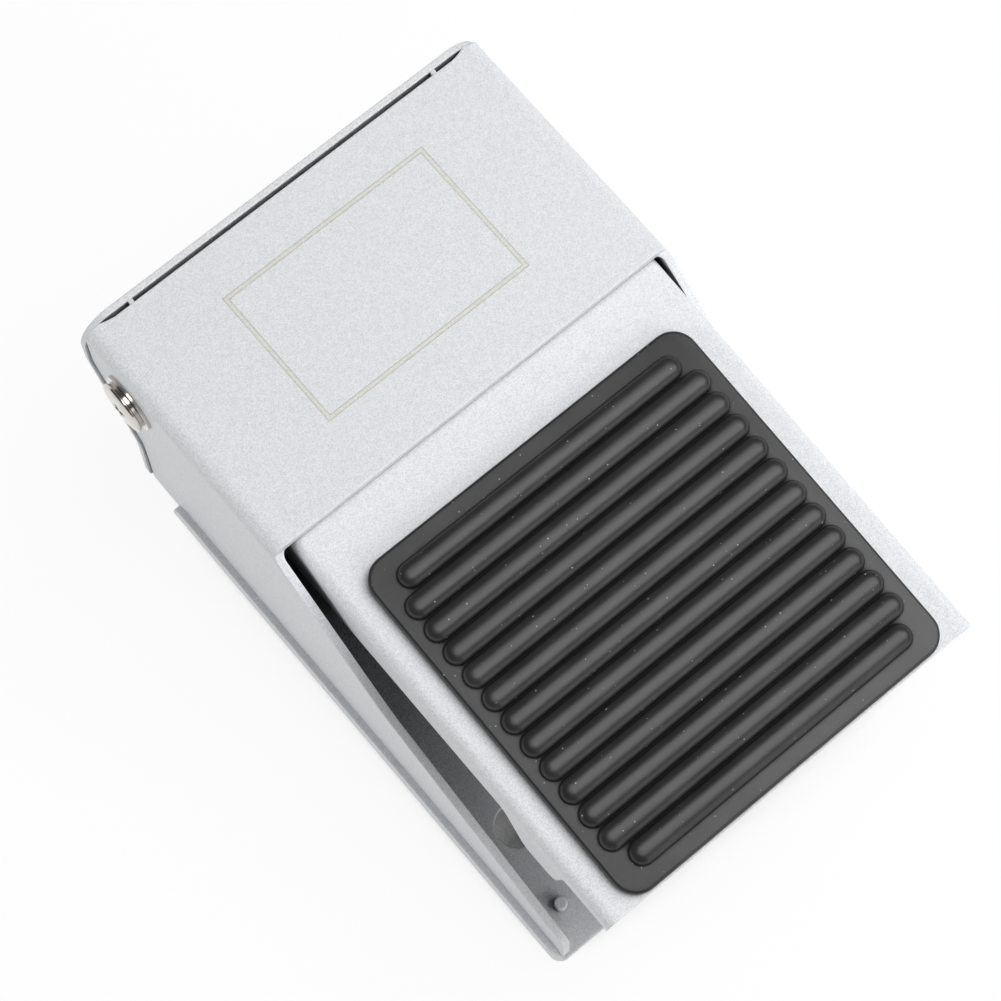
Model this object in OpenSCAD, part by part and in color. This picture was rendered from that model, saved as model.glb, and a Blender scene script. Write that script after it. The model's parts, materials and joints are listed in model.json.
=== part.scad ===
/* [Hood] */
// Outside width of the hood
hood_w = 68; // [60:1:80]
// Length of the hood's flat top
hood_l = 39.6; // [37:0.2:46]
// Height of the hood's top above the ground
hood_top = 46.5; // [45:0.5:52]
// Sheet thickness of the hood
hood_t = 1.2; // [0.8:0.1:1.5]
// Outside bend radius along the hood's top edges
hood_bend = 2.2; // [1.6:0.1:3]
// How far the steep front edge of a cheek runs forward
slope_run = 22; // [18:0.5:26]
// How far that steep edge drops
slope_drop = 19; // [16:0.5:22]
// Height of the cheeks' lower edge above the floor
cheek_lift = 2; // [1.2:0.1:3]
// Height of the wing's upper edge at its front end, above the floor
wing_end_h = 10; // [7:0.5:12]
// Width of the small stop tabs on the hood's rear edge
tab_w = 0.7; // [0.6:0.1:2]
// Distance from a cheek's outside to the middle of a stop tab
tab_edge = 7.8; // [6:0.2:14]
// Distance from a cheek's outside to the end of the slit behind the top
slit_edge = 2.4; // [2.2:0.1:4]

/* [Base] */
// Sheet thickness of the base
base_t = 1; // [0.8:0.1:1.5]
// Height of the side flanges
flange_h = 5; // [4:0.5:8]
// Radius of the rounded ends of the side flanges
flange_end_r = 3; // [1:0.5:3.5]
// Radius of the floor's two front corners
floor_corner = 2; // [1:0.1:3]
// Distance from the hood's rear edge to the rear end of the flanges
flange_back = 13.3; // [11:0.1:16]
// Distance from the pedal's front edge back to the floor's front edge
floor_back = 4.7; // [2:0.1:8]
// Forward step of the rear wall's lower part
joggle = 8.3; // [6:0.1:9]
// Height of the joggle's lower bend above the floor
joggle_low = 16; // [13:0.5:17]
// Height of the joggle's upper bend above the floor
joggle_high = 32.5; // [30:0.5:34]
// Bend radius of the rear wall, at the middle of the sheet
wall_bend = 3; // [2:0.5:4]
// Radius of the rear wall's top corners
wall_corner = 5; // [2:0.5:6]
// How far the rear wall stands out past each cheek
wall_proud = 0.4; // [0:0.1:1]
// Radius of the two mounting holes in the floor
mount_r = 3.3; // [2.5:0.1:4]
// Distance from a cheek's outside to the middle of a mounting hole
mount_edge = 7.5; // [5.6:0.1:9]
// Distance from the pedal's front edge to the mounting holes
mount_back = 23.5; // [20:0.1:30]

/* [Feet] */
// Height of a rubber foot
foot_h = 3; // [2.6:0.1:5]
// Radius of a rubber foot
foot_r = 4.5; // [4:0.1:5.5]
// Distance from a cheek's outside to the middle of a foot
foot_edge = 4.8; // [4.4:0.1:5.6]
// Distance from the pedal's front edge to the front feet
foot_front = 11; // [10:0.1:14]
// Distance between the front and rear feet
foot_pitch_y = 72; // [65:1:76]
// Radius of a foot rivet's shank
rivet_r = 1; // [0.9:0.1:1.6]
// Radius of a foot rivet's head
rivet_head_r = 2.3; // [2:0.1:2.6]

/* [Pedal] */
// Clearance between the pedal's sides and the cheeks
pedal_side_gap = 1.25; // [0.9:0.05:1.6]
// How far the pedal sits to the right of the hood's middle
pedal_shift = 0.6; // [0:0.1:0.6]
// Sheet thickness of the pedal
pedal_t = 1.2; // [0.8:0.1:1.5]
// Outside bend radius along the pedal's sides
pedal_bend = 1.6; // [1.5:0.1:3]
// Length of the pedal ahead of the hood
pedal_reach = 64.6; // [60:0.2:72]
// Downward tilt of the pedal's tread at rest, in degrees
pedal_tilt = 6.1; // [4:0.1:8]
// Clear height between the hood's sheet and the pedal's rear part
pedal_gap = 0.4; // [0.4:0.1:1]
// Depth of the skirts at the hood
skirt_h = 9.6; // [8:0.2:11]
// Depth of the skirts at the pedal's front edge
skirt_front_h = 3.6; // [2:0.1:5]
// Distance from the pedal's front edge to the middle of the skirt lobes
lobe_back = 14.6; // [12:0.2:18]
// Length of a skirt lobe
lobe_l = 11; // [9:0.5:13]
// Depth of a skirt lobe below the skirt
lobe_h = 7; // [3:0.2:8]
// Pedal travel, in degrees
pedal_travel = 12; // [8:0.5:12]

/* [Tread pad] */
// Distance from the pedal's sides to the pad
pad_margin = 3.9; // [3:0.1:8]
// Distance along the tread from the pad to the hood
pad_rear = 8.6; // [8:0.1:12]
// Thickness of the pad's flat border
pad_t = 1.4; // [1:0.1:2]
// Distance from the pedal's front edge to the pad
pad_inset = 0.3; // [0.2:0.1:2]
// Corner radius of the pad
pad_corner = 3.6; // [2:0.1:8]
// Least distance from the pad's front and rear edges to the first and last ribs
rib_end = 4.2; // [2.5:0.1:8]
// Distance between neighbouring ribs
rib_pitch = 3.9; // [3.6:0.05:4]
// Half width of a rib
rib_r = 1.75; // [1.2:0.05:1.75]
// Height of a rib above the border
rib_h = 1.3; // [0.8:0.1:1.4]
// Distance from the pad's sides to the ends of the long ribs
rib_margin = 2.1; // [1:0.1:6]
// How much shorter the first and last ribs are, at each end
rib_short = 1.8; // [0:0.1:4]

/* [Pivot] */
// Distance from the hood's rear edge to the pivot
pivot_back = 8; // [7.8:0.1:9]
// Distance from the hood's top down to the pivot
pivot_down = 8; // [7.6:0.1:8.4]
// Radius of the pivot shaft
shaft_r = 4; // [3.5:0.1:4]
// Wall thickness of the pivot bushes
bush_t = 0.9; // [0.6:0.1:1]
// Radius of the pedal's ears and of the bush flanges
ear_r = 6; // [5.6:0.1:6.2]
// Radial clearance of the turning and sliding fits
run_gap = 0.05; // [0.02:0.01:0.1]
// Radial clearance of the fixed fits
seat_gap = 0.02; // [0.01:0.01:0.03]

/* [Screws] */
// Radius of the screw shanks
screw_r = 2; // [1.5:0.1:2.2]
// Clearance around a shank in a plain hole
hole_gap = 0.2; // [0.1:0.05:0.3]
// Radius of the pivot screw's head
head_r = 4; // [3.5:0.1:4.2]
// Height of the pivot screw's low head
head_h = 0.9; // [0.8:0.1:2]
// Radius of the flat washer
washer_r = 4.5; // [4.2:0.1:5]
// Thickness of the flat washer
washer_t = 0.5; // [0.4:0.1:1]
// Radius of the spring washer
spring_washer_r = 3.7; // [3.4:0.1:4]
// Thickness of the spring washer
spring_washer_t = 0.6; // [0.5:0.1:1.2]
// How far the pivot screw reaches into the shaft
screw_reach = 8; // [6:0.5:12]
// Radius of the shaft's riveted end
rivet_end_r = 3; // [2.6:0.1:3.4]
// Height of the shaft's riveted end
rivet_end_h = 0.8; // [0.5:0.1:1]

/* [Valve] */
// Distance from a cheek's outside to the valve body
body_margin = 8; // [7.5:0.1:9]
// Clear height between the valve body and the pedal's rear part
head_room = 13.7; // [13.2:0.1:14.5]
// Distance from the spool's axis to the pivot
lever = 20; // [19:0.5:20]
// Distance from the spool's axis to the valve body's front face
body_front = 13; // [12:0.5:14]
// Radius of the three ports
port_r = 5.75; // [4.3:0.05:6]
// Distance between neighbouring ports
port_pitch = 18; // [16:0.5:18.5]
// Depth of the right port
port_depth = 12; // [9:0.5:12]
// How much deeper the left port is than the right one, and the middle port than the left one
port_step = 0.6; // [0.4:0.1:0.8]
// Radius of the exhaust holes
exhaust_r = 3; // [2:0.1:3]
// Depth of the exhaust holes
exhaust_depth = 8; // [6:0.5:9]
// Radius of the spool's bore
bore_r = 5; // [4.6:0.1:5]
// Radius of the spool's stem
stem_r = 3; // [2.4:0.1:3]
// Radius of the bush and plug recesses at the ends of the bore
recess_r = 7; // [6.5:0.1:7]
// Radius of the drilled passages
passage_r = 2; // [1.5:0.1:2.2]

/* [Hidden] */
$fn = 64;

// Gaps that pieces keep from each other
wall_gap = 0.75;
cheek_gap = 0.2;
rest_gap = 0.3;
stop_gap = 0.6;
bush_gap = 0.4;
window_gap = 0.5;
clip_gap = 0.05;
cut = 1;

// Heights
floor_top = foot_h + base_t;
hood_under = hood_top - hood_t;
rear_top = hood_under - pedal_gap;
rear_under = rear_top - pedal_t;
body_top = rear_under - head_room;
body_h = body_top - floor_top;
pivot_z = hood_top - pivot_down;
tab_drop = 0.2;
wall_top = hood_top - tab_drop;
skirt_z = rear_top - skirt_h;
cheek_low = floor_top + cheek_lift;

// Lengths, with the origin under the middle of the part
reach_y = pedal_reach * cos(pedal_tilt);
part_l = reach_y + hood_l + wall_gap + base_t;
front_y = -part_l / 2;
hood_front = front_y + reach_y;
hood_rear = hood_front + hood_l;
wall_y = hood_rear + wall_gap;
wall_mid = wall_y + base_t / 2;
floor_front = front_y + floor_back;
wing_back = 0.3;
wing_front = floor_front + wing_back;
flange_rear = hood_rear - flange_back;
pivot_y = hood_rear - pivot_back;
spool_y = pivot_y - lever;
body_y = spool_y - body_front;
body_rear = wall_y - wall_gap;
bend_in = 0.8;
bend_y = hood_front + bend_in;
tread_l = (bend_y - front_y) / cos(pedal_tilt);
front_top = rear_top - tread_l * sin(pedal_tilt);

// Widths
cheek_in = hood_w / 2 - hood_t;
base_w = hood_w + 2 * base_t;
stack_t = washer_t + spring_washer_t + head_h;
middle_shift = (stack_t - base_t) / 2;
wall_w = hood_w + 2 * wall_proud;
pedal_w = 2 * (cheek_in - pedal_side_gap);
ear_in = pedal_w / 2 - pedal_t;
body_w = hood_w - 2 * body_margin;
lug_t = 5;
lug_inset = 1;
lug_out = body_w / 2 - lug_inset;
lug_in = 0.5;
lug_r = ear_r - lug_in;
tab_x = hood_w / 2 - tab_edge;
mount_x = hood_w / 2 - mount_edge;
foot_x = hood_w / 2 - foot_edge;

// Pad and ribs
pad_w = pedal_w - 2 * pad_margin;
pad_l = pedal_reach - pad_inset - pad_rear;
rib_l = pad_w - 2 * rib_margin;
rib_n = floor((pad_l - 2 * rib_end) / rib_pitch + 0.01) + 1;

// Spool stack, from the floor up
travel_rad = pedal_travel * PI / 180;
stroke_ratio = 1.015;
stroke = lever * travel_rad * stroke_ratio;
plug_wall = 1;
plug_r = bore_r + plug_wall;
plug_h = 4;
seal_t = 0.8;
shoulder_z = floor_top + plug_h + seal_t;
spool_low = shoulder_z + stroke + stop_gap;
bush_sink = 0.7;
bush_low = body_top - bush_sink;
bush_h = 3.1;
clip_t = 1;
tower_h = 4;
tower_wall = 3.8;
tower_top = body_top + tower_h;
tower_r = recess_r + tower_wall;
spool_top = bush_low - rest_gap;
cup_t = 1;
cup_under = rear_under - cup_t;
cap_top = cup_under - rest_gap;
cap_low = tower_top + stroke + rest_gap;
cap_wall = 1.5;
cap_r = stem_r + cap_wall;
cap_grip = 2;
stem_top = cap_low + cap_grip;
spring_recess = 2;
recess_wall = 1.7;
spring_recess_r = bore_r - recess_wall;
pedal_wire_r = 0.5;
spring_around = 1.9;
spring_top_r = cap_r + spring_around;
spring_inset = 1.4;
spring_low_r = tower_r - spring_inset;
land_r = bore_r - run_gap;
land_h = (spool_top - spool_low) / 5;

// Shared small sizes
bush_r = shaft_r + run_gap + bush_t;
valve_head_r = 3.4;
valve_head_h = 2;
valve_screw_edge = 6;
valve_screw_x = body_w / 2 - valve_screw_edge;
valve_screw_wall = 3;
rear_screw_y = body_rear - port_depth - 2 * port_step - valve_screw_wall;
valve_screw_reach = 7;
rivet_head_h = 0.7;
rivet_lift = 0.5;
groove = 0.6;
groove_w = 1.4;
port_z = floor_top + body_h / 2;
exhaust_lift = 1.6;
exhaust_z = floor_top + exhaust_r + exhaust_lift;

// Height of the skirts' lower edge at y, ahead of the bend
function skirt_at(y) =
    skirt_z + (front_top - skirt_front_h - skirt_z) * (bend_y - y) / (bend_y - front_y);
function unit(v) = v / norm(v);
function left_of(v) = [-v.y, v.x];
function turned(raw) = raw > 180 ? raw - 360 : raw < -180 ? raw + 360 : raw;

// Points of a rounded corner at b, between a and c
function corner(a, b, c, r, steps) =
    let (
        u = unit(a - b),
        v = unit(c - b),
        half = acos(u * v) / 2,
        middle = b + unit(u + v) * r / sin(half),
        first = b + u * r / tan(half) - middle,
        last = b + v * r / tan(half) - middle,
        from = atan2(first.y, first.x),
        sweep = turned(atan2(last.y, last.x) - from)
    )
    [for (i = [0:steps]) middle + r * [cos(from + sweep * i / steps), sin(from + sweep * i / steps)]];

// A closed outline of [y, z, corner radius] points, with its corners rounded
function outline(points, steps = 8) =
    let (n = len(points), flat = [for (p = points) [p[0], p[1]]])
    [for (i = [0:n - 1]) each points[i][2] <= 0 ? [flat[i]]
        : corner(flat[(i + n - 1) % n], flat[i], flat[(i + 1) % n], points[i][2], steps)];

// A path moved sideways, with its corners kept sharp
function shifted(path, by) =
    let (last = len(path) - 1)
    [for (i = [0:last])
        let (
            before = unit(path[max(i, 1)] - path[max(i, 1) - 1]),
            after = unit(path[min(i, last - 1) + 1] - path[min(i, last - 1)]),
            mid = unit(left_of(before) + left_of(after))
        )
        path[i] + mid * by / (mid * left_of(before))];

// One side of a bent sheet, with every bend rounded about the same centre
function sheet_side(path, r, by, steps = 8) =
    let (moved = shifted(path, by), last = len(path) - 1)
    [for (i = [0:last]) each (i == 0 || i == last) ? [moved[i]]
        : corner(moved[i - 1], moved[i], moved[i + 1],
            r - by * sign(cross(path[i] - path[i - 1], path[i + 1] - path[i])), steps)];

// The rear wall's path between its two bends
joggle_path = [[wall_mid - joggle, floor_top + joggle_low], [wall_mid, floor_top + joggle_high]];

function reversed(list) = [for (i = [len(list) - 1:-1:0]) list[i]];

// Outline of a sheet of thickness t that follows a path
function bent_sheet(path, r, t) =
    concat(sheet_side(path, r, t / 2), reversed(sheet_side(path, r, -t / 2)));

// Extrudes a [y, z] outline across the width w
module across(w) {
    translate([-w / 2, 0, 0]) rotate([90, 0, 90]) linear_extrude(w) children();
}

// Extrudes an [x, z] outline from y0 back to y1
module along(y0, y1) {
    translate([0, y1, 0]) rotate([90, 0, 0]) linear_extrude(y1 - y0) children();
}

// An upright outline with round top corners
module arch(w, low, high, r) {
    translate([-w / 2, low]) square([w, high - low - r]);
    translate([r - w / 2, low]) square([w - 2 * r, high - low]);
    for (side = [-1, 1]) translate([side * (w / 2 - r), high - r]) circle(r);
}

// A bent sheet section: flat top, two legs
module channel(w, low, high, r, t) {
    difference() {
        arch(w, low, high, r);
        arch(w - 2 * t, low - cut, high - t, r - t);
    }
}

// A round bar along X
module bar(x0, x1, r) {
    translate([x0, 0, 0]) rotate([0, 90, 0]) cylinder(r = r, h = x1 - x0);
}

// Moves the part's box to the middle, as only the left side has a screw
module centred() {
    translate([middle_shift, 0, 0]) children();
}

// Places its children on the pivot's axis, on both sides
module at_pivot() {
    for (side = [0, 1]) mirror([side, 0, 0]) translate([0, pivot_y, pivot_z]) children();
}

// Places its children on the left end of the pivot's axis, with x measured outwards
module at_screw() {
    mirror([1, 0, 0]) translate([0, pivot_y, pivot_z]) children();
}

module at_spool(z) {
    translate([0, spool_y, z]) children();
}

module ring(r_in, r_out, h) {
    difference() {
        cylinder(r = r_out, h = h);
        translate([0, 0, -cut]) cylinder(r = r_in, h = h + 2 * cut);
    }
}

module at_feet() {
    for (x = [-1, 1], y = [0, 1])
        translate([x * foot_x, front_y + foot_front + y * foot_pitch_y, 0]) children();
}

module at_valve_screws() {
    for (x = [-1, 1], y = [body_y + valve_screw_edge, rear_screw_y])
        translate([x * valve_screw_x, y, 0]) children();
}

// A round wire wound from r_low at z_low to r_high at z_high, with closed end turns
module coil(r_low, r_high, z_low, z_high, wire_r, turns, per_turn = 18, sides = 8) {
    steps = turns * per_turn;
    rise = z_high - z_low - 2 * wire_r;
    end_turns = 0.75;
    closed = end_turns / turns;
    spots = [for (i = [0:steps])
        let (s = i / steps, u = min(max((s - closed) / (1 - 2 * closed), 0), 1))
        [r_low + (r_high - r_low) * s, 360 * turns * s, z_low + wire_r + rise * u]];
    points = [for (p = spots, k = [0:sides - 1])
        let (r = p[0] + wire_r * cos(360 * k / sides))
        [r * cos(p[1]), r * sin(p[1]), p[2] + wire_r * sin(360 * k / sides)]];
    walls = [for (i = [0:steps - 1], k = [0:sides - 1])
        let (a = i * sides + k, b = i * sides + (k + 1) % sides)
        each [[a, a + sides, b + sides], [a, b + sides, b]]];
    ends = [[for (k = [0:sides - 1]) k], [for (k = [sides - 1:-1:0]) steps * sides + k]];
    polyhedron(points, concat(walls, ends));
}

module base_plate() {
    mid_z = foot_h + base_t / 2;
    path = concat([[floor_front, mid_z], [wall_mid - joggle, mid_z]], joggle_path, [[wall_mid, wall_top]]);
    window_w = body_w + 2 * window_gap;
    fold_in = 0.3;
    fold_r = base_t + fold_in;
    floor_w = 2 * cheek_in;
    wall_low = floor_top + wall_bend;
    wall_low_r = 1.2;
    color("gainsboro") difference() {
        union() {
            intersection() {
                across(wall_w) polygon(bent_sheet(path, wall_bend, base_t));
                along(floor_front - cut, wall_y + base_t + cut) {
                    polygon(outline([
                        [-wall_w / 2, wall_low, wall_low_r], [wall_w / 2, wall_low, wall_low_r],
                        [wall_w / 2, wall_top, wall_corner], [-wall_w / 2, wall_top, wall_corner]]));
                    translate([-floor_w / 2, 0]) square([floor_w, wall_low + cut]);
                }
            }
            intersection() {
                along(floor_front, flange_rear)
                    translate([0, foot_h]) mirror([0, 1]) channel(base_w, -flange_h, 0, fold_r, base_t);
                across(base_w + 2 * cut) polygon(outline([
                    [floor_front, foot_h - cut, 0], [flange_rear, foot_h - cut, 0],
                    [flange_rear, foot_h + flange_h, flange_end_r],
                    [floor_front, foot_h + flange_h, flange_end_r]]));
                translate([0, 0, foot_h - cut]) linear_extrude(flange_h + 2 * cut) polygon(outline([
                    [-base_w / 2, floor_front, floor_corner], [base_w / 2, floor_front, floor_corner],
                    [base_w / 2, flange_rear, 0], [-base_w / 2, flange_rear, 0]]));
            }
        }
        translate([-window_w / 2, wall_y - joggle - wall_bend - cut, floor_top])
            cube([window_w, joggle + wall_bend + 3 * cut, body_h + 2 * window_gap]);
        at_feet() cylinder(r = rivet_r + seat_gap, h = floor_top + cut);
        at_valve_screws() cylinder(r = screw_r + hole_gap, h = floor_top + cut);
        for (x = [-1, 1]) translate([x * mount_x, front_y + mount_back, 0])
            cylinder(r = mount_r, h = floor_top + cut);
    }
}

module hood() {
    kink_r = 12;
    wing_r = 2;
    slit_run = 1.2;
    slit_half = hood_w / 2 - slit_edge;
    wall_line = concat([[wall_mid - joggle, cheek_low]], joggle_path, [[wall_mid, hood_top + cut]]);
    cheek_rear = sheet_side(wall_line, wall_bend, base_t / 2 + cheek_gap);
    side = outline(concat([
        [hood_front, hood_top + cut, 0], [hood_front, hood_under, 0],
        [hood_front - slope_run, hood_top - slope_drop, kink_r],
        [wing_front, floor_top + wing_end_h, wing_r], [wing_front, cheek_low, 0]],
        [for (p = cheek_rear) [p.x, p.y, 0]]));
    slit_end = [[slit_half - 2 * slit_run, hood_rear], [slit_half - slit_run, hood_rear + cheek_gap],
        [slit_half, wall_y - cheek_gap], [slit_half, wall_y]];
    slit = concat([for (p = reversed(slit_end)) [-p.x, p.y]], slit_end);
    color("silver") difference() {
        union() {
            difference() {
                intersection() {
                    along(wing_front - cut, wall_y) channel(hood_w, 0, hood_top, hood_bend, hood_t);
                    across(hood_w + 2 * cut) polygon(side);
                }
                translate([0, 0, hood_under - hood_bend])
                    linear_extrude(hood_t + hood_bend + cut) polygon(slit);
            }
            for (x = [-1, 1]) translate([x * tab_x - tab_w / 2, hood_rear - hood_t, hood_under])
                cube([tab_w, hood_t + wall_gap, hood_t - tab_drop]);
        }
        at_pivot() bar(cheek_in - cut, hood_w / 2 + cut, screw_r + hole_gap);
    }
}

module valve_body() {
    body_l = body_rear - body_y;
    color("silver") difference() {
        union() {
            translate([-body_w / 2, body_y, floor_top]) cube([body_w, body_l, body_h]);
            at_spool(body_top - cut) cylinder(r = tower_r, h = tower_top - body_top + cut);
            for (side = [0, 1]) mirror([side, 0, 0]) {
                translate([0, pivot_y, pivot_z]) bar(lug_out - lug_t, lug_out, lug_r);
                translate([lug_out - lug_t, pivot_y - lug_r, body_top - cut])
                    cube([lug_t, 2 * lug_r, pivot_z - body_top + cut]);
            }
        }
        translate([0, pivot_y, pivot_z]) bar(-body_w, body_w, shaft_r + seat_gap);
        at_spool(floor_top - cut) cylinder(r = bore_r, h = hood_top);
        at_spool(floor_top - cut) cylinder(r = plug_r, h = shoulder_z - floor_top + cut);
        at_spool(bush_low) cylinder(r = recess_r, h = hood_top);
        at_spool(bush_low + bush_h) cylinder(r = recess_r + groove, h = clip_t + 2 * clip_gap);
        for (port = [[0, 2], [-1, 1], [1, 0]]) {
            depth = port_depth + port[1] * port_step;
            translate([port[0] * port_pitch, body_rear - depth, port_z])
                rotate([-90, 0, 0]) cylinder(r = port_r, h = depth + cut);
        }
        for (x = [-1, 1]) translate([x * port_pitch / 2, body_rear - exhaust_depth, exhaust_z])
            rotate([-90, 0, 0]) cylinder(r = exhaust_r, h = exhaust_depth + cut);
        translate([0, spool_y, port_z])
            rotate([-90, 0, 0]) cylinder(r = passage_r, h = body_rear - port_depth - spool_y + cut);
        at_valve_screws() cylinder(r = screw_r + run_gap, h = floor_top + valve_screw_reach + cut);
    }
}

module exhaust_silencers() {
    disc_t = 4;
    disc_sink = 0.4;
    color("peru") for (x = [-1, 1])
        translate([x * port_pitch / 2, body_rear - disc_t - disc_sink, exhaust_z])
            rotate([-90, 0, 0]) cylinder(r = exhaust_r - seat_gap, h = disc_t);
}

module gland_bush() {
    color("goldenrod") at_spool(bush_low) ring(stem_r + run_gap, recess_r - seat_gap, bush_h);
}

module circlip() {
    clip_w = 1.1;
    opening_w = 4;
    color("dimgray") at_spool(bush_low + bush_h + clip_gap) difference() {
        ring(recess_r - clip_w, recess_r + groove - clip_gap, clip_t);
        translate([0, -recess_r, clip_t / 2]) cube([opening_w, 2 * recess_r, 2 * clip_t], center = true);
    }
}

module wiper_ring() {
    wiper_t = 1.2;
    inset = 1.9;
    color("black") at_spool(bush_low + bush_h) ring(stem_r + run_gap, recess_r - inset, wiper_t);
}

module bottom_plug() {
    slot_w = 1.2;
    slot_depth = 1.2;
    color("goldenrod") at_spool(floor_top) difference() {
        cylinder(r = plug_r - seat_gap, h = plug_h);
        translate([-bore_r, -slot_w / 2, -cut]) cube([2 * bore_r, slot_w, cut + slot_depth]);
    }
}

module plug_seal() {
    inset = 1.4;
    color("black") at_spool(floor_top + plug_h) ring(bore_r - inset, plug_r - seat_gap, seal_t);
}

module valve_screws() {
    cross_l = 3.6;
    cross_w = 0.8;
    color("silver") at_valve_screws() {
        translate([0, 0, foot_h - valve_head_h]) difference() {
            cylinder(r = valve_head_r, h = valve_head_h);
            for (turn = [0, 90]) rotate(turn) cube([cross_l, cross_w, valve_head_h], center = true);
        }
        translate([0, 0, foot_h - cut]) cylinder(r = screw_r, h = base_t + valve_screw_reach + cut);
    }
}

module pivot_shaft() {
    end_space = 1;
    color("lightsteelblue") difference() {
        translate([0, pivot_y, pivot_z]) {
            bar(-cheek_in, cheek_in, shaft_r);
            bar(cheek_in - cut, hood_w / 2 + rivet_end_h / 2, screw_r);
            bar(hood_w / 2, hood_w / 2 + rivet_end_h, rivet_end_r);
        }
        at_screw() bar(cheek_in - screw_reach - end_space, cheek_in + cut, screw_r + run_gap);
    }
}

module pivot_screw() {
    seat = hood_w / 2 + washer_t + spring_washer_t;
    edge = 0.5;
    cross_l = 4.4;
    cross_w = 0.9;
    cross_depth = 0.6;
    color("whitesmoke") at_screw() difference() {
        union() {
            bar(cheek_in - screw_reach, seat + head_h / 2, screw_r);
            translate([seat, 0, 0]) rotate([0, 90, 0])
                cylinder(r1 = head_r, r2 = head_r - edge, h = head_h);
        }
        for (turn = [0, 90]) rotate([turn, 0, 0]) translate([seat + head_h, 0, 0])
            cube([2 * cross_depth, cross_w, cross_l], center = true);
    }
}

module spring_washer() {
    split = 0.7;
    split_turn = 20;
    color("whitesmoke") at_screw() translate([hood_w / 2 + washer_t, 0, 0]) difference() {
        rotate([0, 90, 0]) ring(screw_r + hole_gap, spring_washer_r, spring_washer_t);
        rotate([split_turn, 0, 0]) translate([-cut, 0, -split / 2])
            cube([spring_washer_t + 2 * cut, washer_r, split]);
    }
}

module flat_washer() {
    color("whitesmoke") at_screw() translate([hood_w / 2, 0, 0])
        rotate([0, 90, 0]) ring(screw_r + hole_gap, washer_r, washer_t);
}

module rubber_feet() {
    recess = rivet_head_h + rivet_lift;
    edge = 0.6;
    color("black") at_feet() difference() {
        rotate_extrude()
            polygon([[0, 0], [foot_r - edge, 0], [foot_r, edge], [foot_r, foot_h], [0, foot_h]]);
        translate([0, 0, -cut]) cylinder(r = rivet_head_r + hole_gap, h = recess + cut);
        translate([0, 0, -cut]) cylinder(r = rivet_r + seat_gap, h = foot_h + 2 * cut);
    }
}

module foot_rivets() {
    stub_h = 1.3;
    stub_edge = 0.2;
    head_top = rivet_lift + rivet_head_h;
    stub_top = floor_top + stub_h;
    color("silver") at_feet() rotate_extrude() polygon([
        [0, rivet_lift], [rivet_head_r, rivet_lift], [rivet_head_r, head_top], [rivet_r, head_top],
        [rivet_r, stub_top - stub_edge], [rivet_r - stub_edge, stub_top], [0, stub_top]]);
}

// The pedal's outside when inset is 0, and its hollow when inset is the sheet's thickness
module pedal_form(inset) {
    width = pedal_w - 2 * inset;
    depth = 20;
    over = inset > 0 ? cut : 0;
    intersection() {
        translate([0, bend_y, rear_top]) rotate([pedal_tilt, 0, 0]) along(-tread_l - over, pivot_y)
            arch(width, -depth - over, -inset, pedal_bend - inset);
        along(2 * front_y, pivot_y + over)
            arch(width, pivot_z - depth - over, rear_top - inset, pedal_bend - inset);
    }
}

module pedal_plate() {
    tail_gap = 1;
    tail_y = pivot_y - ear_r - tail_gap;
    ear_low = pivot_z - ear_r;
    ear_bend = 2;
    skirt_bend = 3;
    lobe_y = front_y + lobe_back;
    lobe_z = skirt_at(lobe_y) - lobe_h;
    lobe_start = lobe_y - lobe_l / 2;
    lobe_end = lobe_y + lobe_l * 0.6;
    lobe_bend = 2.6;
    side = outline([
        [front_y - cut, hood_top, 0], [tail_y, hood_top, 0], [tail_y, pivot_z + ear_r, 0],
        [pivot_y, pivot_z + ear_r, 0], [pivot_y, ear_low, 0], [pivot_y - ear_r / 2, ear_low, ear_bend],
        [pivot_y - 2 * ear_r, skirt_z, skirt_bend], [bend_y, skirt_z, 0],
        [lobe_end, skirt_at(lobe_end), lobe_bend], [lobe_y + lobe_l * 0.2, lobe_z, lobe_bend],
        [lobe_y - lobe_l * 0.35, lobe_z, lobe_bend], [lobe_start, skirt_at(lobe_start), lobe_bend / 2],
        [front_y - cut, skirt_at(front_y - cut), 0]]);
    color("silver") translate([pedal_shift, 0, 0]) difference() {
        union() {
            intersection() {
                difference() {
                    pedal_form(0);
                    pedal_form(pedal_t);
                }
                across(pedal_w + 2 * cut) polygon(side);
            }
            at_pivot() bar(ear_in, pedal_w / 2, ear_r);
        }
        translate([-ear_in, tail_y, pivot_z - 2 * ear_r]) cube([2 * ear_in, 4 * ear_r, 4 * ear_r]);
        translate([0, pivot_y, pivot_z]) bar(-pedal_w, pedal_w, bush_r + seat_gap);
    }
}

// Places its children on the tread, with y measured back from its front edge
module on_tread() {
    translate([0, front_y, front_top]) rotate([pedal_tilt, 0, 0]) children();
}

module rib(length) {
    half = length / 2 - rib_r;
    bar(-half, half, rib_r);
    for (x = [-1, 1]) translate([x * half, 0, 0]) sphere(rib_r);
}

module tread_pad() {
    middle = pad_inset + pad_l / 2;
    color("dimgray") translate([pedal_shift, 0, 0]) on_tread() {
        translate([0, middle, 0]) linear_extrude(pad_t) {
            square([pad_w - 2 * pad_corner, pad_l], center = true);
            square([pad_w, pad_l - 2 * pad_corner], center = true);
            for (x = [-1, 1], y = [-1, 1])
                translate([x * (pad_w / 2 - pad_corner), y * (pad_l / 2 - pad_corner)]) circle(pad_corner);
        }
        intersection() {
            for (i = [0:rib_n - 1])
                translate([0, middle + (i - (rib_n - 1) / 2) * rib_pitch, pad_t + rib_h - rib_r])
                    rib(rib_l - (i == 0 || i == rib_n - 1 ? 2 * rib_short : 0));
            translate([-pad_w / 2, pad_inset, pad_t / 2]) cube([pad_w, pad_l, pad_t + rib_h]);
        }
    }
}

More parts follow.
